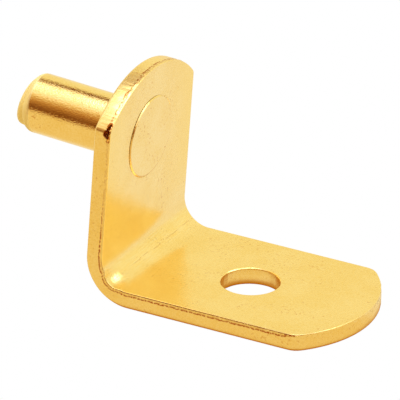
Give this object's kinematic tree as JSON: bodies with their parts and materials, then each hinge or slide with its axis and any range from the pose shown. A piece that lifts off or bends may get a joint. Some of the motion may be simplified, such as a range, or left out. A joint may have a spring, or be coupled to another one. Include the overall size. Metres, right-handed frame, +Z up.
{
  "type": "shelf support pin",
  "caption": "Brass-plated shelf support: a bent sheet bracket with round ends carries the shelf on its drilled flange, and a pin staked through its upright plate plugs into the cabinet side.",
  "frame": {"origin": "where the pin's axis meets the back of the upright plate", "axes": "+Z up, square to the flange that carries the shelf; +X along the flange, away from the pin; +Y across the strip"},
  "size_m": [0.0316, 0.014, 0.0185],
  "materials": {
    "bracket_plating": "bright brass plating on sheared sheet, lightly satin on the faces",
    "pin_plating": "bright brass plating, polished"
  },
  "bodies": {
    "root": {"bracket": "bracket_plating", "pin": "pin_plating"}
  },
  "joints": []
}
